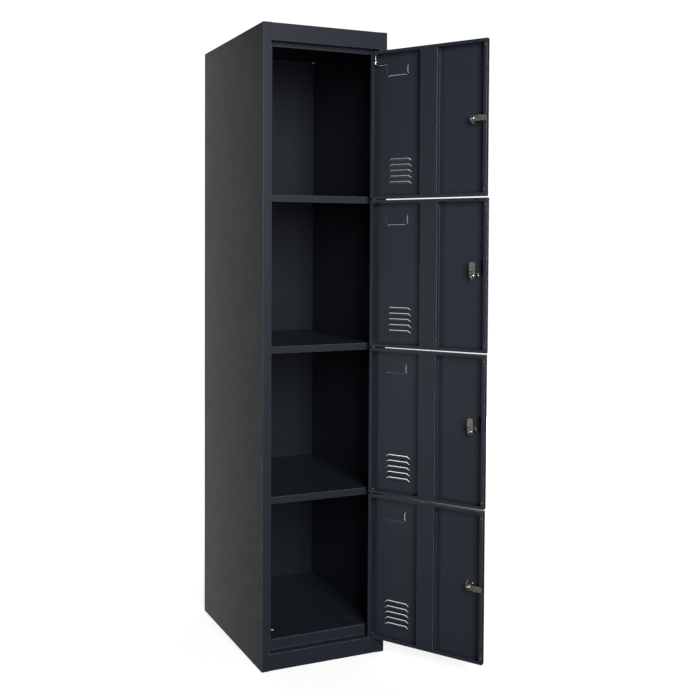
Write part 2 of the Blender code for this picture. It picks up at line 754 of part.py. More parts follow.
def build_doors(paint, steel, chrome, rubber):
    """Four alike doors, each on an empty on the hinge line, with its lock's cam on an empty on the lock's axis."""
    fixed = {
        "panel": (door_pan_mesh(), paint, (0, 0, 0)),
        "stiffener": (stiffener_mesh(), paint, (0, 0, 0)),
    }
    lock_place = door_point(DOOR_WIDTH - LOCK_FROM_EDGE, 0, LOCK_LEVEL)
    fixed["lock_housing"] = (lock_housing_mesh(), chrome, lock_place)
    fixed["lock_nut"] = (lock_nut_mesh(), chrome, lock_place)
    buffer = buffer_mesh()
    edge = DOOR_WIDTH - BUFFER_FROM_EDGE
    fixed["buffer_top"] = (buffer, rubber, door_point(edge, 0, DOOR_HEIGHT - BUFFER_FROM_END))
    fixed["buffer_bottom"] = (buffer, rubber, door_point(edge, 0, BUFFER_FROM_END))
    turning = {
        "plug": (lock_plug_mesh(), chrome),
        "cam": (cam_mesh(), steel),
        "cam_screw": (cam_screw_mesh(), chrome),
    }
    doors = []
    for number in range(1, DOORS + 1):
        door = pivot_empty(f"door_{number}_hinge_line", (PIVOT_X, PIVOT_Y, door_floor(number)))
        door.rotation_euler = (0, 0, math.radians(OPEN_ANGLES[number - 1]))
        for name, (mesh, finish, place) in fixed.items():
            piece = add_object(f"door_{number}_{name}", mesh, finish, door)
            piece.location = place
        axis = pivot_empty(f"lock_{number}_axis", lock_place, door)
        axis.rotation_euler = (0, CAM_ANGLES[number - 1], 0)
        for name, (mesh, finish) in turning.items():
            add_object(f"lock_{number}_{name}", mesh, finish, axis)
        doors.append(door)
    return doors


def main():
    clear_scene()
    paint = material("anthracite_powder_coat", (0.028, 0.034, 0.046), 0.5, 0.0)
    steel = material("zinc_plated_steel", (0.52, 0.49, 0.44), 0.35, 1.0)
    chrome = material("bright_nickel", (0.72, 0.71, 0.69), 0.18, 1.0)
    rubber = material("black_rubber", (0.02, 0.02, 0.02), 0.7, 0.0)

    side_panel("left_side_panel", -1, paint)
    side_panel("right_side_panel", 1, paint)
    back_panel(paint)
    top_panel(paint)
    floor_tray(paint)
    base_plinth(paint)
    for number in range(1, DOORS):
        shelf(number, paint)
        hinge_plate(number, steel)
    hinge_pins(steel)
    doors = build_doors(paint, steel, chrome, rubber)
    top_hinge(doors[0], steel, chrome)


main()
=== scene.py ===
"""The looks of a single-column steel locker with four open doors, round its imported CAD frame.

Metres, in the frame of the CAD model: X along the front, Y towards the back, Z up.
Folded sheet is grown as one skin, bend by bend, and then given its thickness.
What is in a door is measured on the closed door: u from its hinge edge, v inward from
its outer face and z up from its lower edge, round the hinge line, and is then turned open.
"""

import json
import math

import bmesh
import bpy
from mathutils import Matrix, Vector


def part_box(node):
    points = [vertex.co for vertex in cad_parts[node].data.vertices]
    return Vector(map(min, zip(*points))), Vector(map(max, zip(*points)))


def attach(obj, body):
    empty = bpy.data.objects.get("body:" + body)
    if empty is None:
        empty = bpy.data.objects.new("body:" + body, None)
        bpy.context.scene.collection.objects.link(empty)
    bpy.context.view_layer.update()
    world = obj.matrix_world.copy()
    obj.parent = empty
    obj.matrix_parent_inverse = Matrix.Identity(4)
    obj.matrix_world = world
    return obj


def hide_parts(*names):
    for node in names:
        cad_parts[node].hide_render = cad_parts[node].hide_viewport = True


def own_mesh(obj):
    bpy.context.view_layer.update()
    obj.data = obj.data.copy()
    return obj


MM = 0.001
TINY = 1e-6

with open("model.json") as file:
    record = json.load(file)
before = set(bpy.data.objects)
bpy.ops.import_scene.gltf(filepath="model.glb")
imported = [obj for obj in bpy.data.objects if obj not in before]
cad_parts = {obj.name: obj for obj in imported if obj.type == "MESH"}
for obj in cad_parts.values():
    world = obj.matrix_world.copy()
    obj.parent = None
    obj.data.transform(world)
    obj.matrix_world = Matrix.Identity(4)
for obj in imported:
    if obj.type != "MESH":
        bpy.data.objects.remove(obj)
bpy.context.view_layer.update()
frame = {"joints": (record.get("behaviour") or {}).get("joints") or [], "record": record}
joints = {joint["name"]: joint for joint in frame["joints"]}
body_of_node = {
    node: body for body, nodes in frame["record"]["behaviour"]["bodies"].items() for node in nodes
}

# ---------------------------------------------------------------- sizes, from the frame where it has them

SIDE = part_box("right_side_panel")[1].x
FRONT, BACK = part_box("right_side_panel")[0].y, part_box("right_side_panel")[1].y
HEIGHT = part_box("right_side_panel")[1].z
SHEET = 0.8 * MM
GAP = 0.3 * MM
BEND = 1.7 * MM
INNER_BEND = 0.9 * MM
BEND_STEPS = 5

JAMB = 24.5 * MM
OPENING = SIDE - JAMB
HEADER = 48.5 * MM
HEADER_LIP = 12.5 * MM
PLINTH = 47.5 * MM
FOOT_FLANGE = 20 * MM
FLANGE = 12 * MM
STOP_DEPTH = 22.5 * MM
STOP_LIP = 12 * MM
INNER = SIDE - SHEET
NOTCH = 4.5 * MM
SHELL_FRONT = FRONT + STOP_DEPTH + SHEET + GAP
SHELL_BACK = BACK - 2 * SHEET - 2 * GAP
SHELF_LIP = 20 * MM
SHELF_ROLL = 12 * MM
FLOOR_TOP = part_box("floor_tray")[1].z
FLOOR_LIP = 17 * MM
FLOOR_HOLE = 4 * MM
FLOOR_HOLE_SIDE = 68 * MM
FLOOR_HOLE_END = 81 * MM

DOORS = 4
PIVOT_X, PIVOT_Y, _ = joints["door_1_hinge"]["pos_m"]
DOOR_WIDTH = 330 * MM
DOOR_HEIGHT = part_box("door_1_panel")[1].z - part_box("door_1_panel")[0].z
DOOR_THICKNESS = 20 * MM
DOOR_LIP = 9 * MM
PIVOT_FROM_EDGE = 8 * MM
PIVOT_BEHIND_FACE = 5 * MM

PIN_RADIUS = 2.5 * MM
PIN_HOLE = PIN_RADIUS + GAP
COLLAR_RADIUS = 4.2 * MM
COLLAR = 0.5 * MM
COLLAR_SOFT = 0.15 * MM
PIN_CHAMFER = 0.9 * MM
HINGE_PLATE = 1.2 * MM
PLATE_NOSE = 3 * MM
PLATE_SOFT = 0.25 * MM

TOP_PIN_RADIUS = 2 * MM
TOP_PIN_TOP = 15.3 * MM
TOP_PIN_DROP = 39 * MM
TOP_PIN_ARM = 40 * MM
TOP_PIN_BEND = 4.5 * MM
TOP_BRACKET_DROP = 23 * MM
TOP_BRACKET_LENGTH = 14 * MM
TOP_BRACKET_DEPTH = 9.5 * MM
TOP_BRACKET_FOOT = 8 * MM
TOP_BRACKET = 1.5 * MM
CLIP_RADIUS = 3.6 * MM
CLIP = 1.2 * MM
SPRING_WIRE = 0.45 * MM
SPRING_RADIUS = TOP_PIN_RADIUS + GAP + SPRING_WIRE + 0.1 * MM
SPRING_TURNS = 7
SPRING_STEPS = 24
SPRING_EASE = 0.06

LOUVRES = 5
LOUVRE_PITCH = 16.1 * MM
LOUVRE_TOP = 113 * MM
LOUVRE_START = 44 * MM
LOUVRE_END = 117.5 * MM
CARD_START = 45.5 * MM
CARD_END = 102.5 * MM
CARD_LOW = 69 * MM
CARD_HIGH = 42 * MM
CARD_CORNER = 1 * MM
STIFFENER_START = 146 * MM
STIFFENER_WIDTH = 49 * MM
STIFFENER_FOOT = 10 * MM
HANG_HOLE = 2.3 * MM
HANG_HOLE_FROM_EDGE = 29.5 * MM

LOCK_FROM_EDGE = 37 * MM
LOCK_LEVEL = 206.5 * MM
LOCK_HEAD = 11 * MM
LOCK_HEAD_DEPTH = 2.4 * MM
LOCK_BODY = 9 * MM
LOCK_BORE = 5.8 * MM
LOCK_LENGTH = 20 * MM
LOCK_PLUG = 5.5 * MM
LOCK_NUT = 14 * MM
LOCK_NUT_THICKNESS = 4 * MM
LOCK_NUT_SOFT = 0.5 * MM
KEYWAY_HALF_WIDTH = 0.9 * MM
KEYWAY_HALF_HEIGHT = 3.6 * MM
KEYWAY_DEPTH = 6 * MM
OVERCUT = 1 * MM
CAM_WIDTH = 15.5 * MM
CAM_THICKNESS = 2 * MM
CAM_REACH = 37.5 * MM
CAM_SHOULDER = 10 * MM
CAM_CRANK = 3 * MM
CAM_PLANE = LOCK_LENGTH + 2 * MM
CAM_ANGLES = (0.0, math.radians(90), math.radians(90), 0.0)

BUFFER_RADIUS = 4 * MM
BUFFER_FROM_EDGE = 4.3 * MM
BUFFER_FROM_END = 18 * MM

RIGHT = Vector((1, 0, 0))
IN = Vector((0, 1, 0))
UP = Vector((0, 0, 1))


# ---------------------------------------------------------------- materials

def node_tools(name):
    """A new material with its shader, and short ways to add a node and to join two sockets."""
    made = bpy.data.materials.new(name)
    made.use_nodes = True
    nodes = made.node_tree.nodes
    shader = nodes["Principled BSDF"]

    def add(kind, **values):
        node = nodes.new(kind)
        for key, value in values.items():
            setattr(node, key, value)
        return node

    def join(source, target):
        made.node_tree.links.new(source, target)

    return made, shader, add, join


def span(add, join, source, low, high):
    """Maps a noise value, which mostly runs from 0.3 to 0.7, to a range."""
    mapped = add("ShaderNodeMapRange")
    for socket, value in zip(mapped.inputs[1:5], (0.3, 0.7, low, high)):
        socket.default_value = value
    join(source, mapped.inputs["Value"])
    return mapped.outputs["Result"]


def grain(add, join, scale, detail, stretch=(1, 1, 1)):
    """A noise texture in the object's own coordinates."""
    place = add("ShaderNodeTexCoord")
    mapping = add("ShaderNodeMapping")
    mapping.inputs["Scale"].default_value = stretch
    noise = add("ShaderNodeTexNoise")
    noise.inputs["Scale"].default_value = scale
    noise.inputs["Detail"].default_value = detail
    join(place.outputs["Object"], mapping.inputs["Vector"])
    join(mapping.outputs["Vector"], noise.inputs["Vector"])
    return noise.outputs["Fac"]


def bump(add, join, layers, shader):
    """Stacks bump layers of (height, depth in metres) into a shader's normal."""
    normal = None
    for height, depth in layers:
        node = add("ShaderNodeBump")
        node.inputs["Strength"].default_value = 1.0
        node.inputs["Distance"].default_value = depth
        join(height, node.inputs["Height"])
        if normal is not None:
            join(normal, node.inputs["Normal"])
        normal = node.outputs["Normal"]
    join(normal, shader.inputs["Normal"])


def blend_colours(add, join, factor, first, second):
    """Mixes two colours, each a tuple or a socket, by a socket's value."""
    mix = add("ShaderNodeMix", data_type="RGBA")
    join(factor, mix.inputs[0])
    for socket, value in ((mix.inputs[6], first), (mix.inputs[7], second)):
        if isinstance(value, tuple):
            socket.default_value = (*value, 1.0)
        else:
            join(value, socket)
    return mix.outputs[2]


def powder_coat(name, dark, light, sheen):
    """Blue-grey anthracite powder coat: fine orange peel, a mottled sheen, and a patchy painted highlight
    that lightens bends and pressed rims.
    """
    made, shader, add, join = node_tools(name)
    mottle = span(add, join, grain(add, join, 5.0, 3.0), 0.0, 1.0)
    colour = blend_colours(add, join, mottle, dark, light)
    speck = span(add, join, grain(add, join, 2600.0, 1.0), 0.0, 0.25)
    colour = blend_colours(add, join, speck, colour, (0.036, 0.045, 0.062))
    # Painted highlight: a lighter blue-grey, broken up by noise, laid along bends and the rims of pressed
    # louvres and tabs.
    highlight_weight = add("ShaderNodeAttribute", attribute_name="painted_highlight")
    patchy = span(add, join, grain(add, join, 90.0, 4.0), 0.0, 1.0)
    painted_highlight_mix = add("ShaderNodeMath", operation="MULTIPLY", use_clamp=True)
    join(highlight_weight.outputs["Fac"], painted_highlight_mix.inputs[0])
    join(patchy, painted_highlight_mix.inputs[1])
    colour = blend_colours(add, join, painted_highlight_mix.outputs[0], colour, (0.13, 0.145, 0.17))
    join(colour, shader.inputs["Base Color"])
    join(span(add, join, grain(add, join, 34.0, 4.0), 0.43, 0.49), shader.inputs["Roughness"])
    shader.inputs["Specular IOR Level"].default_value = sheen
    bump(add, join, (
        (grain(add, join, 420.0, 2.0), 0.00006),
        (grain(add, join, 1500.0, 2.0), 0.000025),
    ), shader)
    return made


def zinc_steel():
    """Zinc-plated steel, warm grey, with faint drawn lines and darker blotches."""
    made, shader, add, join = node_tools("zinc_plated_steel")
    blotch = span(add, join, grain(add, join, 160.0, 4.0), 0.0, 1.0)
    colour = blend_colours(add, join, blotch, (0.44, 0.41, 0.36), (0.66, 0.62, 0.56))
    join(colour, shader.inputs["Base Color"])
    shader.inputs["Metallic"].default_value = 1.0
    join(span(add, join, grain(add, join, 420.0, 3.0), 0.32, 0.50), shader.inputs["Roughness"])
    bump(add, join, ((grain(add, join, 300.0, 3.0, (1, 1, 12)), 0.00002),), shader)
    return made


def bright_nickel():
    """Bright nickel plate with a faint haze and hairline turning marks, painted near-black as painted shade
    where a vertex attribute marks it.
    """
    made, shader, add, join = node_tools("bright_nickel")
    haze = span(add, join, grain(add, join, 220.0, 4.0), 0.0, 1.0)
    colour = blend_colours(add, join, haze, (0.74, 0.73, 0.70), (0.92, 0.91, 0.88))
    # Painted shade: near-black where the vertex attribute marks the pin's top.
    pin_top_shade_mask = add("ShaderNodeAttribute", attribute_name="pin_top_shade")
    colour = blend_colours(add, join, pin_top_shade_mask.outputs["Fac"], colour, (0.012, 0.012, 0.013))
    join(colour, shader.inputs["Base Color"])
    shader.inputs["Metallic"].default_value = 1.0
    join(span(add, join, grain(add, join, 600.0, 3.0), 0.09, 0.24), shader.inputs["Roughness"])
    bump(add, join, ((grain(add, join, 900.0, 2.0), 0.00001),), shader)
    return made


def grey_rubber():
    """Moulded grey rubber, matt, with a fine grain and a dusty bloom."""
    made, shader, add, join = node_tools("grey_rubber")
    bloom = span(add, join, grain(add, join, 300.0, 4.0), 0.0, 1.0)
    colour = blend_colours(add, join, bloom, (0.06, 0.06, 0.063), (0.12, 0.12, 0.123))
    join(colour, shader.inputs["Base Color"])
    join(span(add, join, grain(add, join, 500.0, 2.0), 0.55, 0.8), shader.inputs["Roughness"])
    bump(add, join, ((grain(add, join, 2200.0, 2.0), 0.00003),), shader)
    return made


PAINT_COLOURS = ((0.0245, 0.0315, 0.0455), (0.0265, 0.0340, 0.0490))
# A darker copy of the paint for the back panel: painted shade that darkens the inside of the compartments.
SHADED_PAINT_COLOURS = ((0.0145, 0.0190, 0.0280), (0.0160, 0.0207, 0.0300))
FINISHES = {
    "powder_coat": powder_coat("anthracite_powder_coat", *PAINT_COLOURS, sheen=0.45),
    "shade_darkened_coat": powder_coat("shade_darkened_powder_coat", *SHADED_PAINT_COLOURS, sheen=0.3),
    "zinc_steel": zinc_steel(),
    "bright_nickel": bright_nickel(),
    "rubber": grey_rubber(),
}


# ---------------------------------------------------------------- meshes

def final_mesh(obj):
    """The mesh that an object's modifiers make. The object is removed."""
    depsgraph = bpy.context.evaluated_depsgraph_get()
    mesh = bpy.data.meshes.new_from_object(obj.evaluated_get(depsgraph))
    bpy.data.objects.remove(obj, do_unlink=True)
    return mesh


def temporary(mesh):
    """An object that holds a mesh while its modifiers work."""
    obj = bpy.data.objects.new("working", mesh)
    bpy.context.scene.collection.objects.link(obj)
    return obj


def finished(mesh, sharp=35):
    """Smooth shading with sharp creases, and flat faces kept flat beside small bends."""
    mesh.shade_smooth()
    mesh.set_sharp_from_angle(angle=math.radians(sharp))
    obj = temporary(mesh)
    weighted = obj.modifiers.new("weighted", "WEIGHTED_NORMAL")
    weighted.keep_sharp = True
    return final_mesh(obj)


def mesh_from(bm):
    mesh = bpy.data.meshes.new("made")
    bm.to_mesh(mesh)
    bm.free()
    return mesh


def solid_from(bm):
    bmesh.ops.recalc_face_normals(bm, faces=bm.faces)
    return mesh_from(bm)


def combine(mesh, other, operation="DIFFERENCE"):
    """The exact Boolean of two closed meshes."""
    body, tool = temporary(mesh), temporary(other)
    modifier = body.modifiers.new("cut", "BOOLEAN")
    modifier.operation = operation
    modifier.solver = "EXACT"
    modifier.object = tool
    result = final_mesh(body)
    bpy.data.objects.remove(tool, do_unlink=True)
    return result


def bevelled(mesh, width):
    obj = temporary(mesh)
    bevel = obj.modifiers.new("bevel", "BEVEL")
    bevel.width = width
    bevel.segments = 2
    bevel.limit_method = "ANGLE"
    bevel.angle_limit = math.radians(40)
    return final_mesh(obj)


def turned(profile, sides=48, axis="Z"):
    """Turns a closed outline of (radius, height) points round an axis. A radius of 0 closes on the axis."""
    bm = bmesh.new()
    rings = []
    for radius, height in profile:
        if radius == 0:
            rings.append([bm.verts.new((0, 0, height))] * sides)
            continue
        angles = [2 * math.pi * k / sides for k in range(sides)]
        rings.append([bm.verts.new((radius * math.cos(a), radius * math.sin(a), height)) for a in angles])
    for ring, following in zip(rings, rings[1:] + rings[:1]):
        for k in range(sides):
            loop = (ring[k], ring[(k + 1) % sides], following[(k + 1) % sides], following[k])
            distinct = list(dict.fromkeys(loop))
            if len(distinct) > 2:
                bm.faces.new(distinct)
    if axis == "Y":
        bmesh.ops.transform(bm, matrix=Matrix.Rotation(math.radians(-90), 4, "X"), verts=bm.verts)
    return solid_from(bm)


def prism(outline, axis, low, high):
    """Draws a flat outline out along an axis. The outline is in the other two axes, in X, Y, Z order."""
    bm = bmesh.new()
    ends = []
    for level in (low, high):
        ring = []
        for first, second in outline:
            place = [first, second]
            place.insert(axis, level)
            ring.append(bm.verts.new(place))
        ends.append(ring)
        bm.faces.new(ring)
    count = len(outline)
    for k in range(count):
        bm.faces.new((ends[0][k], ends[0][(k + 1) % count], ends[1][(k + 1) % count], ends[1][k]))
    return solid_from(bm)


def block(x, y, z):
    return prism([(x[0], y[0]), (x[1], y[0]), (x[1], y[1]), (x[0], y[1])], 2, *z)


def drill(mesh, centre, radius, length, axis="Z", sides=32):
    """Cuts a round hole that runs half its length to each side of its centre."""
    half = length / 2
    cutter = turned([(0, half), (radius, half), (radius, -half), (0, -half)], sides, axis)
    cutter.transform(Matrix.Translation(centre))
    return combine(mesh, cutter)


def tube(points, radius, sides):
    """A round bar along a line of points, with domed ends."""
    bm = bmesh.new()
    points = [Vector(p) for p in points]
    dome = 0.35
    start_way = (points[0] - points[1]).normalized()
    end_way = (points[-1] - points[-2]).normalized()
    line = [(points[0] + start_way * radius * dome * (s - 1), radius * r) for s, r in
            ((1.0, 0.45), (0.75, 0.8), (0.3, 0.97))]
    line += [(p, radius) for p in points[1:-1]]
    line += [(points[-1] + end_way * radius * dome * (s - 1), radius * r) for s, r in
             ((0.3, 0.97), (0.75, 0.8), (1.0, 0.45))]
    heading = -start_way
    side = heading.orthogonal().normalized()
    rings = []
    for k, (point, size) in enumerate(line):
        after, before = line[min(k + 1, len(line) - 1)][0], line[max(k - 1, 0)][0]
        new_heading = (after - before).normalized()
        side = heading.rotation_difference(new_heading) @ side
        heading = new_heading
        other = heading.cross(side)
        ring = []
        for step in range(sides):
            angle = 2 * math.pi * step / sides
            ring.append(bm.verts.new(point + size * (math.cos(angle) * side + math.sin(angle) * other)))
        rings.append(ring)
    for ring, following in zip(rings, rings[1:]):
        for k in range(sides):
            bm.faces.new((ring[k], ring[(k + 1) % sides], following[(k + 1) % sides], following[k]))
    bm.faces.new(rings[0])
    bm.faces.new(rings[-1])
    return solid_from(bm)


def corner_arc(corner, start, end, radius):
    """The points of an arc that rounds a corner between two lines, from the first to the second."""
    into, away = (corner - start).normalized(), (end - corner).normalized()
    turn = into.angle(away)
    centre = corner + (away - into).normalized() * radius / math.cos(turn / 2)
    reach = radius * math.tan(turn / 2)
    first, last = corner - into * reach - centre, corner + away * reach - centre
    points = []
    for step in range(BEND_STEPS + 1):
        share = step / BEND_STEPS
        chord = math.sin((1 - share) * turn) * first + math.sin(share * turn) * last
        points.append(centre + chord / math.sin(turn))
    return points


class Skin:
    """The outer skin of a piece of folded sheet, grown from a flat grid by folding strips from its edges.

    The vertices inside each bend carry a vertex attribute that the paint reads as a painted highlight, a
    lighter colour along the bend.
    """

    def __init__(self):
        self.bm = bmesh.new()
        self.painted_highlight = self.bm.verts.layers.float.new("painted_highlight")

    def vertex(self, place, painted_highlight=0.0):
        made = self.bm.verts.new(place)
        made[self.painted_highlight] = painted_highlight
        return made

    def strip(self, row, following):
        for k in range(len(row) - 1):
            self.bm.faces.new((row[k], row[k + 1], following[k + 1], following[k]))

    def grid(self, rows, keep=lambda middle: True):
        """Rows of places become rows of vertices. keep says, from a cell's middle, whether it is metal."""
        made = [[self.vertex(place) for place in row] for row in rows]
        for row, following in zip(made, made[1:]):
            for k in range(len(row) - 1):
                cell = (row[k], row[k + 1], following[k + 1], following[k])
                if keep(sum((v.co for v in cell), Vector()) / 4):
                    self.bm.faces.new(cell)
        return made

    def fold(self, edge, out, back, corner, length, radius=BEND, spread=(0, 0)):
        """Carries the sheet on from a row of vertices: straight out to a corner, round it, and back.

        spread lengthens the strip with each step out or back, for a mitre. Returns the last row.
        """
        along = (edge[-1].co - edge[0].co).normalized()
        arc = corner_arc(Vector((corner, 0)), Vector((0, 0)), Vector((corner, length)), radius)
        # Vertices inside the arc get full weight for the painted highlight along the bend.
        profile = [(point, float(0 < k < len(arc) - 1)) for k, point in enumerate(arc)]
        profile.append((Vector((corner, length)), 0.0))
        if profile[0][0].length < TINY:
            profile.pop(0)
        row = edge
        places = [v.co.copy() for v in edge]
        for (steps_out, steps_back), painted_highlight in profile:
            following = []
            for k, place in enumerate(places):
                shift = (k == len(places) - 1) - (k == 0)
                more = shift * (spread[0] * steps_out + spread[1] * steps_back)
                moved = place + out * steps_out + back * steps_back + along * more
                following.append(self.vertex(moved, painted_highlight))
            self.strip(row, following)
            row = following
        return row

    def mesh(self, facing, thickness=SHEET):
        """The finished sheet. facing is the way its first face looks, and the thickness lies behind it."""
        bm = self.bm
        bmesh.ops.remove_doubles(bm, verts=bm.verts, dist=TINY)
        bmesh.ops.delete(bm, geom=[v for v in bm.verts if not v.link_faces], context="VERTS")
        bmesh.ops.recalc_face_normals(bm, faces=bm.faces)
        bm.faces.ensure_lookup_table()
        bm.faces[0].normal_update()
        if bm.faces[0].normal.dot(facing) < 0:
            bmesh.ops.reverse_faces(bm, faces=bm.faces)
        obj = temporary(mesh_from(bm))
        solidify = obj.modifiers.new("thickness", "SOLIDIFY")
        solidify.thickness = thickness
        solidify.offset = -1
        solidify.use_even_offset = True
        return finished(final_mesh(obj))


def show(mesh, node, slot_name, matrix=None, finish=None):
    """Shows a mesh in place of one CAD node, on that node's body, in its slot's finish or the one named."""
    mesh.materials.clear()
    mesh.materials.append(FINISHES[finish or slot_name])
    piece = bpy.data.objects.new(node + "_detail", mesh)
    bpy.context.scene.collection.objects.link(piece)
    if matrix is not None:
        piece.matrix_world = matrix
    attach(piece, body_of_node[node])
    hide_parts(node)
    return piece


# ---------------------------------------------------------------- the cabinet

def side_panel(name, sign):
    """Side wall, jamb, return and stop lip, and the flange at the back, from one sheet."""
    skin = Skin()
    levels = (0, FLOOR_TOP + GAP, HEIGHT - HEADER - GAP, HEIGHT - SHEET - GAP, HEIGHT)
    inward = RIGHT * -sign
    wall = skin.grid([[(sign * SIDE, y, z) for z in levels] for y in (FRONT + BEND, BACK - BEND)])
    jamb = skin.fold(wall[0], -IN, inward, BEND, JAMB - BEND)
    inner = skin.fold(jamb[:-1], inward, IN, BEND, STOP_DEPTH - INNER_BEND)
    skin.fold(inner[1:3], IN, inward, INNER_BEND, STOP_LIP, INNER_BEND)
    skin.fold(wall[-1], IN, inward, BEND, FLANGE)
    show(skin.mesh(RIGHT * sign), name, "powder_coat")


def tray(skin, top, front, extra=()):
    """A level sheet between the side walls: its sides and back turn down, and its back corners are cut away.

    Returns the row of vertices along its front.
    """
    half = INNER - GAP
    columns = [half, half - BEND, half - NOTCH, half - FLANGE, *extra]
    columns = sorted([-x for x in columns] + columns)
    side_start, side_end = SHELL_FRONT + FLANGE, SHELL_BACK - FLANGE
    rows = (front, side_start, side_end, SHELL_BACK - NOTCH, SHELL_BACK - BEND)

    def metal(middle):
        if middle.y > SHELL_BACK - NOTCH:
            return abs(middle.x) < half - NOTCH
        return abs(middle.x) < half - BEND or not side_start < middle.y < side_end

    made = skin.grid([[(x, y, top) for x in columns] for y in rows], metal)
    for column, out in ((1, -RIGHT), (-2, RIGHT)):
        skin.fold([made[1][column], made[2][column]], out, -UP, BEND, FLANGE)
    back = [v for v in made[-1] if abs(v.co.x) < half - FLANGE + TINY]
    skin.fold(back, IN, -UP, BEND, FLANGE)
    return made[0]


def within(row, half):
    """The vertices of a row that lie no farther than half to either side of the middle."""
    return [v for v in row if abs(v.co.x) < half + TINY]


def top_panel():
    """Roof, header face, its return and the stop lip behind it, from one sheet."""
    skin = Skin()
    face_half, return_half = OPENING + BEND, OPENING - GAP
    low = HEIGHT - HEADER
    front = tray(skin, HEIGHT, FRONT + BEND, (face_half, return_half))
    header = skin.fold(within(front, face_half), -IN, -UP, BEND, HEADER - BEND)
    under = skin.fold(within(header, return_half), -UP, IN, BEND, SHELL_FRONT - FRONT - INNER_BEND)
    skin.fold(under, IN, -UP, INNER_BEND, HEADER_LIP - SHEET, INNER_BEND)
    mesh = skin.mesh(UP)
    mesh = drill(mesh, (PIVOT_X, PIVOT_Y, low), TOP_PIN_RADIUS + GAP, 4 * SHEET)
    show(finished(mesh), "top_panel", "powder_coat")


def floor_tray():
    skin = Skin()
    front = tray(skin, FLOOR_TOP, SHELL_FRONT + BEND)
    skin.fold(front, -IN, -UP, BEND, FLOOR_LIP)
    mesh = skin.mesh(UP)
    for x in (FLOOR_HOLE_SIDE - SIDE, SIDE - FLOOR_HOLE_SIDE):
        for y in (FRONT + FLOOR_HOLE_END, BACK - FLOOR_HOLE_END):
            mesh = drill(mesh, (x, y, FLOOR_TOP), FLOOR_HOLE, 4 * SHEET)
    show(finished(mesh), "floor_tray", "powder_coat")


def shelf(number):
    """A shelf whose deep front lip is rolled back along its lower edge."""
    node = f"shelf_{number}"
    skin = Skin()
    front = tray(skin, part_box(node)[1].z, SHELL_FRONT + BEND)
    lip = skin.fold(front, -IN, -UP, BEND, SHELF_LIP - BEND)
    skin.fold(lip, -UP, IN, BEND, SHELF_ROLL)
    show(skin.mesh(UP), node, "powder_coat")


def base_plinth():
    """Plinth face with its foot flange, the ledge on top and the riser behind the floor's lip."""
    skin = Skin()
    face_half, inner_half = OPENING + BEND, OPENING - GAP
    riser = SHELL_FRONT + SHEET + GAP
    columns = (-face_half, -inner_half, inner_half, face_half)
    face = skin.grid([[(x, FRONT, z) for x in columns] for z in (BEND, PLINTH - BEND)])
    ledge = skin.fold(within(face[1], inner_half), UP, IN, BEND, riser - FRONT - INNER_BEND)
    skin.fold(ledge, IN, UP, INNER_BEND, FLOOR_TOP - SHEET - GAP - PLINTH, INNER_BEND)
    skin.fold(within(face[0], inner_half), -UP, IN, BEND, FOOT_FLANGE)
    mesh = drill(skin.mesh(-IN), (PIVOT_X, PIVOT_Y, PLINTH), PIN_HOLE, 4 * SHEET)
    show(finished(mesh), "base_plinth", "powder_coat")


def back_panel():
    skin = Skin()
    half = INNER - GAP
    y = BACK - SHEET - GAP
    skin.grid([[(x, y, z) for x in (-half, half)] for z in (0, HEIGHT - SHEET - GAP)])
    # The back panel takes the darker paint copy, as painted shade inside the compartments.
    show(skin.mesh(IN), "back_panel", "powder_coat", finish="shade_darkened_coat")


# ---------------------------------------------------------------- hinges

def pin_end(reach):
    """Half of a pin's outline: a rounded end."""
    curve = [(math.cos(math.radians(a)), math.sin(math.radians(a))) for a in (0, 30, 60, 90)]
    rounded = [(PIN_RADIUS - PIN_CHAMFER * (1 - c), reach - PIN_CHAMFER * (1 - s)) for c, s in curve]
    return [*rounded, (0, reach)]


def collar(low, high):
    """A collar's outline from its lower to its higher side, with softened rims."""
    rim = COLLAR_RADIUS - COLLAR_SOFT
    return [(rim, low), (COLLAR_RADIUS, low + COLLAR_SOFT), (COLLAR_RADIUS, high - COLLAR_SOFT), (rim, high)]


def hinge_pins():
    seat = HINGE_PLATE / 2 + GAP
    for number in range(1, DOORS):
        low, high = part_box(f"hinge_pin_{number}")
        level, reach = (low.z + high.z) / 2, (high.z - low.z) / 2
        lower_end = [(radius, -height) for radius, height in reversed(pin_end(reach))]
        profile = [*lower_end, (PIN_RADIUS, seat), *collar(seat, seat + COLLAR), (PIN_RADIUS, seat + COLLAR),
                   *pin_end(reach)]
        place = Matrix.Translation((PIVOT_X, PIVOT_Y, level))
        show(finished(turned(profile, 32)), f"hinge_pin_{number}", "zinc_steel", place)

    foot = f"hinge_pin_{DOORS}"
    under = -SHEET - GAP
    profile = [(0, under - COLLAR), *collar(under - COLLAR, under), (PIN_RADIUS, under), (PIN_RADIUS, GAP),
               *collar(GAP, GAP + COLLAR), (PIN_RADIUS, GAP + COLLAR), *pin_end(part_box(foot)[1].z - PLINTH)]
    show(finished(turned(profile, 32)), foot, "zinc_steel", Matrix.Translation((PIVOT_X, PIVOT_Y, PLINTH)))


def hinge_plate(number):
    """A plate with a rounded nose, welded into the jamb."""
    node = f"hinge_plate_{number}"
    low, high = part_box(node)
    outline = [(high.x, low.y), (high.x, high.y)]
    for corner_y, start in ((high.y - PLATE_NOSE, 90), (low.y + PLATE_NOSE, 180)):
        for step in range(6):
            turn = math.radians(start + 18 * step)
            along = low.x + PLATE_NOSE + PLATE_NOSE * math.cos(turn)
            outline.append((along, corner_y + PLATE_NOSE * math.sin(turn)))
    middle = (PIVOT_X, PIVOT_Y, (low.z + high.z) / 2)
    mesh = drill(prism(outline, 2, low.z, high.z), middle, PIN_HOLE, 3 * HINGE_PLATE)
    show(finished(bevelled(mesh, PLATE_SOFT)), node, "zinc_steel")


# ---------------------------------------------------------------- doors

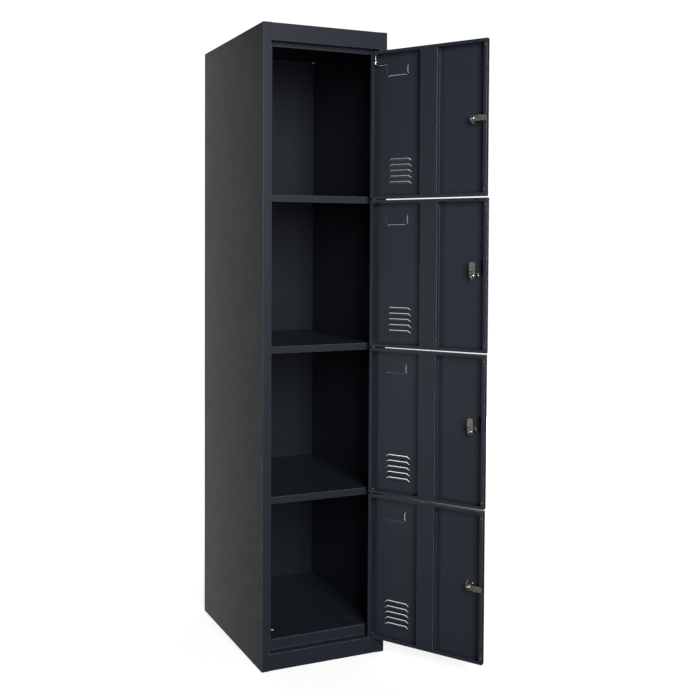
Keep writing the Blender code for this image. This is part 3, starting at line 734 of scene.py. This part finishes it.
def door_matrix(number):
    """Where a closed door's own coordinates lie in the world, with the door standing open."""
    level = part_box(f"door_{number}_panel")[0].z
    angle = -math.radians(joints[f"door_{number}_hinge"]["range_deg"][0])
    return Matrix.Translation((PIVOT_X, PIVOT_Y, level)) @ Matrix.Rotation(angle, 4, "Z")


def door_place(u, v, z):
    """The place u from a door's hinge edge, v behind its face and z up, measured from its hinge line."""
    return Vector((PIVOT_FROM_EDGE - u, v - PIVOT_BEHIND_FACE, z))


class Lance:
    """A flap cut free along one line and pressed out of the sheet, as at a louvre.

    It runs along u or z from low to high. It is cut at cut, and the flap lies width to one
    side of that, which is side +1 or -1. Pressing it by depth, which is inward where it is
    positive, opens the mouth. Towards each end the cut slants over by drop, and only the
    last of the slant, SHUT of it, is closed.
    """

    SHARES = (0.0, 0.12, 0.3, 0.55, 0.8, 1.0)
    SHUT = 0.3

    def __init__(self, along, low, high, cut, side, width, depth, end, drop, mouth):
        self.along, self.low, self.high, self.cut, self.side = along, low, high, cut, side
        self.width, self.depth, self.end, self.drop, self.mouth = width, depth, end, drop, mouth

    def lines(self):
        """The grid lines that its shape needs, as (in u, in z)."""
        lengthways = [self.low + self.end * s for s in self.SHARES]
        lengthways += [self.high - self.end * s for s in self.SHARES]
        flap = self.width - self.mouth
        crossways = [self.cut] + [self.cut + self.side * (self.mouth + flap * s) for s in self.SHARES]
        return (lengthways, crossways) if self.along == "u" else (crossways, lengthways)

    def press(self, u, z):
        """Where a point of the flat sheet goes, as (u, z, depth), or None if it stays."""
        a, c = (u, z) if self.along == "u" else (z, u)
        distance = self.side * (c - self.cut)
        if not (self.low - TINY < a < self.high + TINY and -TINY < distance < self.width + TINY):
            return None
        reach = max(0.0, min(1.0, (a - self.low) / self.end, (self.high - a) / self.end))
        pulled = self.drop * (1 - reach)
        if distance < self.mouth / 2:
            moved, deep = pulled + self.mouth * max(0.0, 1 - reach / self.SHUT), 0.0
        else:
            share = (self.width - distance) / (self.width - self.mouth)
            moved = self.width - (self.width - self.mouth - pulled) * share
            deep = self.depth * math.sin(math.pi / 2 * reach) * math.sin(math.pi / 2 * share)
        c = self.cut + self.side * moved
        return (a, c, deep) if self.along == "u" else (c, a, deep)

    def cut_through(self, u, z):
        """Whether a point of the flat sheet lies in the mouth."""
        a, c = (u, z) if self.along == "u" else (z, u)
        return self.low < a < self.high and 0 < self.side * (c - self.cut) < self.mouth


def door_lances():
    """Five louvres low in the door, pressed in, and three tabs that hold a card, pressed out."""
    lances = []
    hood = {"width": 11.5 * MM, "depth": 2.6 * MM, "end": 9.5 * MM, "drop": 8 * MM, "mouth": 0.7 * MM}
    for number in range(LOUVRES):
        top = LOUVRE_TOP - number * LOUVRE_PITCH
        lances.append(Lance("u", LOUVRE_START, LOUVRE_END, top, -1, **hood))
    low, high = DOOR_HEIGHT - CARD_LOW, DOOR_HEIGHT - CARD_HIGH
    tab = {"width": 7.5 * MM, "depth": -1.3 * MM, "end": 5 * MM, "drop": 3 * MM, "mouth": 0.35 * MM}
    lances.append(Lance("u", CARD_START, CARD_END - CARD_CORNER, low, -1, **tab))
    lances.append(Lance("z", low + CARD_CORNER, high, CARD_START, -1, **tab))
    lances.append(Lance("z", low + CARD_CORNER, high, CARD_END, 1, **tab))
    return lances


def grid_lines(values, low, high):
    """Sorted lines between two ends, without repeats."""
    return sorted({round(v, 7) for v in (*values, low, high) if low - TINY < v < high + TINY})


def door_pan():
    """A door's pan: the face with what is pressed into it, and its edges turned back and then in."""
    lances = door_lances()
    us, zs = [], []
    for lance in lances:
        in_u, in_z = lance.lines()
        us += in_u
        zs += in_z
    us = grid_lines(us, BEND, DOOR_WIDTH - BEND)
    zs = grid_lines(zs, BEND, DOOR_HEIGHT - BEND)
    skin = Skin()

    def place(u, z):
        for lance in lances:
            pressed = lance.press(u, z)
            if pressed is not None:
                new_u, new_z, deep = pressed
                # Pressed flaps get a painted highlight, strongest where they are pressed deepest.
                return door_place(new_u, deep, new_z), 0.6 * abs(deep / lance.depth) ** 3
        return door_place(u, 0, z), 0.0

    made = []
    for z in zs:
        row = []
        for u in us:
            where, painted_highlight = place(u, z)
            row.append(skin.vertex(where, painted_highlight))
        made.append(row)
    for k, (low, high) in enumerate(zip(zs, zs[1:])):
        for n, (left, right) in enumerate(zip(us, us[1:])):
            middle = ((left + right) / 2, (low + high) / 2)
            if not any(lance.cut_through(*middle) for lance in lances):
                skin.bm.faces.new((made[k][n], made[k][n + 1], made[k + 1][n + 1], made[k + 1][n]))

    edges = (
        ([row[0] for row in made], RIGHT),
        ([row[-1] for row in made], -RIGHT),
        (made[0], -UP),
        (made[-1], UP),
    )
    for edge, out in edges:
        wall = skin.fold(edge, out, IN, BEND, DOOR_THICKNESS - BEND, spread=(1, 0))
        skin.fold(wall, IN, -out, BEND, DOOR_LIP, spread=(0, -1))
    mesh = skin.mesh(-IN)
    for level in (0, DOOR_HEIGHT):
        mesh = drill(mesh, (0, 0, level), PIN_HOLE, 4 * SHEET)
    lock = door_place(DOOR_WIDTH - LOCK_FROM_EDGE, 0, LOCK_LEVEL)
    mesh = drill(mesh, lock, LOCK_BODY + GAP, 4 * SHEET, "Y", 48)
    hang = door_place(DOOR_WIDTH - HANG_HOLE_FROM_EDGE, DOOR_THICKNESS, DOOR_HEIGHT - DOOR_LIP / 2)
    return finished(drill(mesh, hang, HANG_HOLE, 4 * SHEET, "Y"))


def stiffener():
    """A hat channel behind the face: crown, two walls and two feet."""
    skin = Skin()
    start, end = STIFFENER_START, STIFFENER_START + STIFFENER_WIDTH
    foot = 2 * SHEET + GAP
    levels = (DOOR_LIP + GAP, DOOR_HEIGHT - DOOR_LIP - GAP)
    sides = (start + BEND, end - BEND)
    crown = skin.grid([[door_place(u, DOOR_THICKNESS, z) for z in levels] for u in sides])
    for edge, out in ((crown[0], RIGHT), (crown[1], -RIGHT)):
        wall = skin.fold(edge, out, -IN, BEND, DOOR_THICKNESS - foot - INNER_BEND)
        skin.fold(wall, -IN, out, INNER_BEND, STIFFENER_FOOT, INNER_BEND)
    return skin.mesh(IN)


def buffer():
    """A rubber bump with a domed nose."""
    low, high = DOOR_THICKNESS + GAP, STOP_DEPTH - GAP
    dome = [(BUFFER_RADIUS * math.cos(math.radians(a)), low + (high - low) * math.sin(math.radians(a)))
            for a in (0, 20, 40, 58, 75)]
    return finished(turned([(0, low), *dome, (0, high)], 32, "Y"), 50)


# ---------------------------------------------------------------- locks

def lock_housing():
    """A flanged barrel with a rounded head and a threaded body."""
    head, face = -LOCK_HEAD_DEPTH, -GAP
    soft = 0.7 * MM
    profile = [(LOCK_BORE, head), (LOCK_HEAD - soft, head), (LOCK_HEAD - 0.2 * soft, head + 0.3 * soft),
               (LOCK_HEAD, head + soft), (LOCK_HEAD, face), (LOCK_BODY, face)]
    thread_start, plain_end, pitch, depth = 6 * MM, 1.5 * MM, 1.2 * MM, 0.45 * MM
    turns = int((LOCK_LENGTH - plain_end - thread_start) / pitch)
    for turn in range(turns):
        level = thread_start + turn * pitch
        profile += [(LOCK_BODY, level), (LOCK_BODY - depth, level + pitch / 2)]
    chamfer, chamfer_length = 0.7 * MM, 1.2 * MM
    profile += [(LOCK_BODY, LOCK_LENGTH - chamfer_length), (LOCK_BODY - chamfer, LOCK_LENGTH),
                (LOCK_BORE, LOCK_LENGTH)]
    return finished(turned(profile, 48, "Y"))


def lock_nut():
    """The hexagon nut that holds the housing from inside."""
    low = SHEET + GAP
    high = low + LOCK_NUT_THICKNESS
    turns = [math.radians(60 * k) for k in range(6)]
    hexagon = [(LOCK_NUT * math.cos(turn), LOCK_NUT * math.sin(turn)) for turn in turns]
    middle = (0, (low + high) / 2, 0)
    mesh = drill(prism(hexagon, 1, low, high), middle, LOCK_BODY + GAP, 3 * LOCK_NUT_THICKNESS, "Y", 48)
    return finished(bevelled(mesh, LOCK_NUT_SOFT))


def lock_plug():
    """The plug that the key turns, with a keyway in its outer end and a stub for the cam."""
    outer = -LOCK_HEAD_DEPTH + GAP
    shoulder, stub = CAM_PLANE - GAP, CAM_PLANE + CAM_THICKNESS
    stub_radius, thread_radius, thread_depth = 3.1 * MM, 2.4 * MM, 8 * MM
    soft = 0.5 * MM
    profile = [(0, outer), (LOCK_PLUG - soft, outer), (LOCK_PLUG, outer + soft), (LOCK_PLUG, shoulder),
               (stub_radius, shoulder), (stub_radius, stub), (thread_radius, stub),
               (thread_radius, stub - thread_depth), (0, stub - thread_depth)]
    mesh = turned(profile, 40, "Y")
    keyway = block((-KEYWAY_HALF_WIDTH, KEYWAY_HALF_WIDTH), (outer - OVERCUT, outer + KEYWAY_DEPTH),
                   (-KEYWAY_HALF_HEIGHT, KEYWAY_HALF_HEIGHT))
    return finished(combine(mesh, keyway))


def cam():
    """A cranked cam that points at the door's free edge: a bent strip with round ends and a hole."""
    half = CAM_WIDTH / 2
    low, high = CAM_PLANE, CAM_PLANE + CAM_THICKNESS
    bend = CAM_SHOULDER + CAM_CRANK
    strip = [(half, low), (half, high), (-CAM_SHOULDER, high), (-bend, high + CAM_CRANK),
             (-CAM_REACH, high + CAM_CRANK), (-CAM_REACH, low + CAM_CRANK), (-bend, low + CAM_CRANK),
             (-CAM_SHOULDER, low)]
    mesh = prism(strip, 2, -half, half)
    corner, stub_hole, soft = 5 * MM, 3.4 * MM, 0.3 * MM
    outline = []
    for step in range(25):
        turn = math.radians(-90 + 7.5 * step)
        outline.append((half * math.cos(turn), half * math.sin(turn)))
    for quarter, sign in ((90, 1), (180, -1)):
        for step in range(11):
            turn = math.radians(quarter + 9 * step)
            outline.append((corner - CAM_REACH + corner * math.cos(turn),
                            sign * (half - corner) + corner * math.sin(turn)))
    shape = prism(outline, 1, low - CAM_THICKNESS, high + CAM_CRANK + CAM_THICKNESS)
    mesh = combine(mesh, shape, "INTERSECT")
    mesh = drill(mesh, (0, (low + high) / 2, 0), stub_hole, 3 * CAM_THICKNESS, "Y")
    return finished(bevelled(mesh, soft))


def cam_screw():
    """A pan-head screw with a washer and a cross recess."""
    under = CAM_PLANE + CAM_THICKNESS + GAP
    shank, head, washer = 2 * MM, 4.8 * MM, 6.3 * MM
    length, washer_height, soft = 6 * MM, 0.9 * MM, 0.2 * MM
    rim_height, crown_height = 1.9 * MM, 2.1 * MM
    recess_arm, recess_half_width, recess_depth = 2.9 * MM, 0.55 * MM, 1.6 * MM
    top = under + rim_height + crown_height
    turns = [math.radians(a) for a in (0, 25, 48, 66, 80)]
    crown = [(head * math.cos(turn), under + rim_height + crown_height * math.sin(turn)) for turn in turns]
    profile = [(0, under - length), (shank, under - length), (shank, under), (washer - soft, under),
               (washer, under + soft), (washer, under + washer_height - soft),
               (washer - soft, under + washer_height), (head, under + washer_height), *crown, (0, top)]
    mesh = turned(profile, 36, "Y")
    for across, up in ((recess_arm, recess_half_width), (recess_half_width, recess_arm)):
        mesh = combine(mesh, block((-across, across), (top - recess_depth, top + OVERCUT), (-up, up)))
    return finished(mesh)


def top_hinge_bracket(place, bracket_top):
    """An angle on the door's edge wall, which guides the pin."""
    skin = Skin()
    start = PIVOT_FROM_EDGE - SHEET - GAP
    ends = (start, start - TOP_BRACKET_LENGTH)
    foot_face = SHEET + GAP - PIVOT_BEHIND_FACE
    sides = (foot_face + BEND, foot_face + TOP_BRACKET_DEPTH)
    flat = skin.grid([[(x, y, bracket_top) for x in ends] for y in sides])
    skin.fold(flat[0], -IN, -UP, BEND, TOP_BRACKET_FOOT)
    mesh = skin.mesh(UP, thickness=TOP_BRACKET)
    mesh = finished(drill(mesh, (0, 0, bracket_top), TOP_PIN_RADIUS + GAP, 4 * TOP_BRACKET))
    show(mesh, "top_hinge_bracket", "zinc_steel", place)


def top_hinge_pin(place):
    """The L-shaped pin. Its part above the door, which a vertex attribute marks, is painted near-black as
    painted shade.
    """
    low = DOOR_HEIGHT - TOP_PIN_DROP
    levels = (DOOR_HEIGHT + TOP_PIN_TOP, DOOR_HEIGHT + SHEET, DOOR_HEIGHT - SHEET, low + 2 * TOP_PIN_BEND)
    points = [(0, 0, level) for level in levels]
    for step in range(11):
        turn = math.radians(9 * step)
        points.append((-TOP_PIN_BEND * (1 - math.cos(turn)), 0, low + TOP_PIN_BEND * (1 - math.sin(turn))))
    points += [(-TOP_PIN_ARM + TOP_PIN_RADIUS, 0, low), (-TOP_PIN_ARM, 0, low)]
    mesh = finished(tube(points, TOP_PIN_RADIUS, 24), 50)
    # Marks the pin's part above the door for painted shade in the nickel.
    pin_top_shade = mesh.attributes.new("pin_top_shade", "FLOAT", "POINT")
    for vertex, value in zip(mesh.vertices, pin_top_shade.data):
        value.value = float(vertex.co.z > DOOR_HEIGHT + TINY)
    show(mesh, "top_hinge_pin", "bright_nickel", place)


def top_hinge_clip(place, clip_top):
    """The ring on the pin that the spring pushes up."""
    hole, soft = TOP_PIN_RADIUS + GAP, 0.25 * MM
    clip_low = clip_top - CLIP
    ring = [(hole, clip_top), (CLIP_RADIUS - soft, clip_top), (CLIP_RADIUS, clip_top - soft),
            (CLIP_RADIUS, clip_low + soft), (CLIP_RADIUS - soft, clip_low), (hole, clip_low)]
    show(finished(turned(ring, 32)), "top_hinge_clip", "bright_nickel", place)


def top_hinge_spring(place, bracket_top, clip_top):
    """A coil between the bracket and the clip, closer wound at its ends, which the sliding pin squashes."""
    start = bracket_top + GAP + SPRING_WIRE
    end = clip_top - CLIP - GAP - SPRING_WIRE
    steps = SPRING_STEPS * SPRING_TURNS
    coil = []
    for step in range(steps + 1):
        share = step / steps
        turn = 2 * math.pi * SPRING_TURNS * share
        level = start + (end - start) * (share - SPRING_EASE * math.sin(2 * math.pi * share))
        coil.append((SPRING_RADIUS * math.cos(turn), SPRING_RADIUS * math.sin(turn), level))
    spring = show(finished(tube(coil, SPRING_WIRE, 10), 50), "top_hinge_spring", "bright_nickel", place)
    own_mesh(spring)


def top_hinge():
    """The sprung L-shaped pin that holds the top door. Heights are in the door's own coordinates."""
    place = door_matrix(1)
    bracket_top = DOOR_HEIGHT - TOP_BRACKET_DROP
    clip_top = DOOR_HEIGHT - SHEET - GAP
    top_hinge_bracket(place, bracket_top)
    top_hinge_pin(place)
    top_hinge_clip(place, clip_top)
    top_hinge_spring(place, bracket_top, clip_top)


def doors():
    """Four alike doors, each turned open on its hinge line, with its lock's cam at its own angle."""
    lock_place = Matrix.Translation(door_place(DOOR_WIDTH - LOCK_FROM_EDGE, 0, LOCK_LEVEL))
    edge = DOOR_WIDTH - BUFFER_FROM_EDGE
    buffer_top = Matrix.Translation(door_place(edge, 0, DOOR_HEIGHT - BUFFER_FROM_END))
    buffer_bottom = Matrix.Translation(door_place(edge, 0, BUFFER_FROM_END))
    still = Matrix.Identity(4)
    rubber = buffer()
    fixed = {
        "panel": (door_pan(), "powder_coat", still),
        "stiffener": (stiffener(), "powder_coat", still),
        "lock_housing": (lock_housing(), "bright_nickel", lock_place),
        "lock_nut": (lock_nut(), "bright_nickel", lock_place),
        "buffer_top": (rubber, "rubber", buffer_top),
        "buffer_bottom": (rubber, "rubber", buffer_bottom),
    }
    turning = {
        "plug": (lock_plug(), "bright_nickel"),
        "cam": (cam(), "zinc_steel"),
        "cam_screw": (cam_screw(), "bright_nickel"),
    }
    for number in range(1, DOORS + 1):
        place = door_matrix(number)
        for name, (mesh, slot_name, offset) in fixed.items():
            show(mesh, f"door_{number}_{name}", slot_name, place @ offset)
        turned_lock = place @ lock_place @ Matrix.Rotation(CAM_ANGLES[number - 1], 4, "Y")
        for name, (mesh, slot_name) in turning.items():
            show(mesh, f"lock_{number}_{name}", slot_name, turned_lock)


# ---------------------------------------------------------------- the set

def camera():
    data = bpy.data.cameras.new("camera")
    made = bpy.data.objects.new("camera", data)
    bpy.context.scene.collection.objects.link(made)
    bpy.context.scene.camera = made
    made.location = (-1.1895, -2.2724, 1.1764)
    made.rotation_euler = (math.radians(88.338), math.radians(-0.056), math.radians(-20.677))
    data.sensor_width = 36
    data.lens = 47.03
    data.shift_x = 0.1932
    data.shift_y = -0.11
    data.clip_start = 0.05
    data.clip_end = 100


def plain_surface(name, colour, glow):
    """A matt surface that glows white by the given strength."""
    made, shader, _, _ = node_tools(name)
    shader.inputs["Base Color"].default_value = (*colour, 1.0)
    shader.inputs["Roughness"].default_value = 0.9
    shader.inputs["Emission Color"].default_value = (1.0, 1.0, 1.0, 1.0)
    shader.inputs["Emission Strength"].default_value = glow
    return made


def disc(name, radius, height, finish):
    bm = bmesh.new()
    bmesh.ops.create_circle(bm, cap_ends=True, segments=96, radius=radius)
    mesh = mesh_from(bm)
    mesh.materials.append(finish)
    made = bpy.data.objects.new(name, mesh)
    made.location.z = height
    bpy.context.scene.collection.objects.link(made)
    return made


def studio():
    """A pale floor in a white dome that only the camera sees, so that its light stays off the object.

    The floor glows more with its distance from the middle, so that it only darkens under the cabinet.
    """
    far = 14.0
    near_edge, far_edge, near_glow, full_glow = 0.3, 1.6, 0.74, 1.05
    white = plain_surface("floor_white", (0.8, 0.8, 0.8), 0.0)
    nodes, links = white.node_tree.nodes, white.node_tree.links
    place = nodes.new("ShaderNodeTexCoord")
    distance = nodes.new("ShaderNodeVectorMath")
    distance.operation = "LENGTH"
    glow = nodes.new("ShaderNodeMapRange")
    glow.interpolation_type = "SMOOTHSTEP"
    for socket, value in zip(glow.inputs[1:5], (near_edge, far_edge, near_glow, full_glow)):
        socket.default_value = value
    links.new(place.outputs["Object"], distance.inputs[0])
    links.new(distance.outputs["Value"], glow.inputs["Value"])
    links.new(glow.outputs["Result"], nodes["Principled BSDF"].inputs["Emission Strength"])
    floor = disc("floor", far, -0.5 * MM, white)
    bm = bmesh.new()
    bmesh.ops.create_uvsphere(bm, u_segments=64, v_segments=32, radius=far)
    mesh = mesh_from(bm)
    mesh.materials.append(plain_surface("backdrop_white", (0.0, 0.0, 0.0), full_glow))
    dome = bpy.data.objects.new("backdrop", mesh)
    bpy.context.scene.collection.objects.link(dome)
    for obj in (floor, dome):
        obj.visible_diffuse = False
        obj.visible_glossy = False
        obj.visible_shadow = False


def soft_light(name, place, target, size, power, colour=(1, 1, 1)):
    """A rectangular lamp aimed at a target, with its power in watts."""
    data = bpy.data.lights.new(name, "AREA")
    data.shape = "RECTANGLE"
    data.size, data.size_y = size
    data.energy = power
    data.color = colour
    made = bpy.data.objects.new(name, data)
    bpy.context.scene.collection.objects.link(made)
    made.location = place
    made.rotation_euler = (Vector(target) - Vector(place)).to_track_quat("-Z", "Y").to_euler()
    made.visible_camera = False


def lights():
    """Soft boxes in front, low on the left and behind on the right, and a tall strip behind on the left."""
    soft_light("key", (-0.5, -3.9, 2.1), (0.1, 0.1, 0.9), (1.8, 2.8), 114)
    soft_light("fill", (-3.2, -0.1, 0.3), (0.0, 0.1, 0.5), (1.0, 1.6), 15)
    soft_light("rear", (-0.42, 1.65, 0.65), (-0.3, 0.3, 0.65), (0.35, 3.2), 6.4, (1.0, 0.95, 0.88))
    soft_light("back", (3.0, 2.4, 1.3), (0.1, 0.2, 0.9), (1.6, 2.4), 45)
    world = bpy.data.worlds.new("studio")
    world.use_nodes = True
    background = world.node_tree.nodes["Background"]
    background.inputs["Color"].default_value = (0.80, 0.88, 1.0, 1.0)
    background.inputs["Strength"].default_value = 0.04
    bpy.context.scene.world = world
    bpy.context.scene.view_settings.view_transform = "Standard"


camera()
for panel, sign in (("left_side_panel", -1), ("right_side_panel", 1)):
    side_panel(panel, sign)
back_panel()
top_panel()
floor_tray()
base_plinth()
for number in range(1, DOORS):
    shelf(number)
    hinge_plate(number)
hinge_pins()
doors()
top_hinge()
studio()
lights()
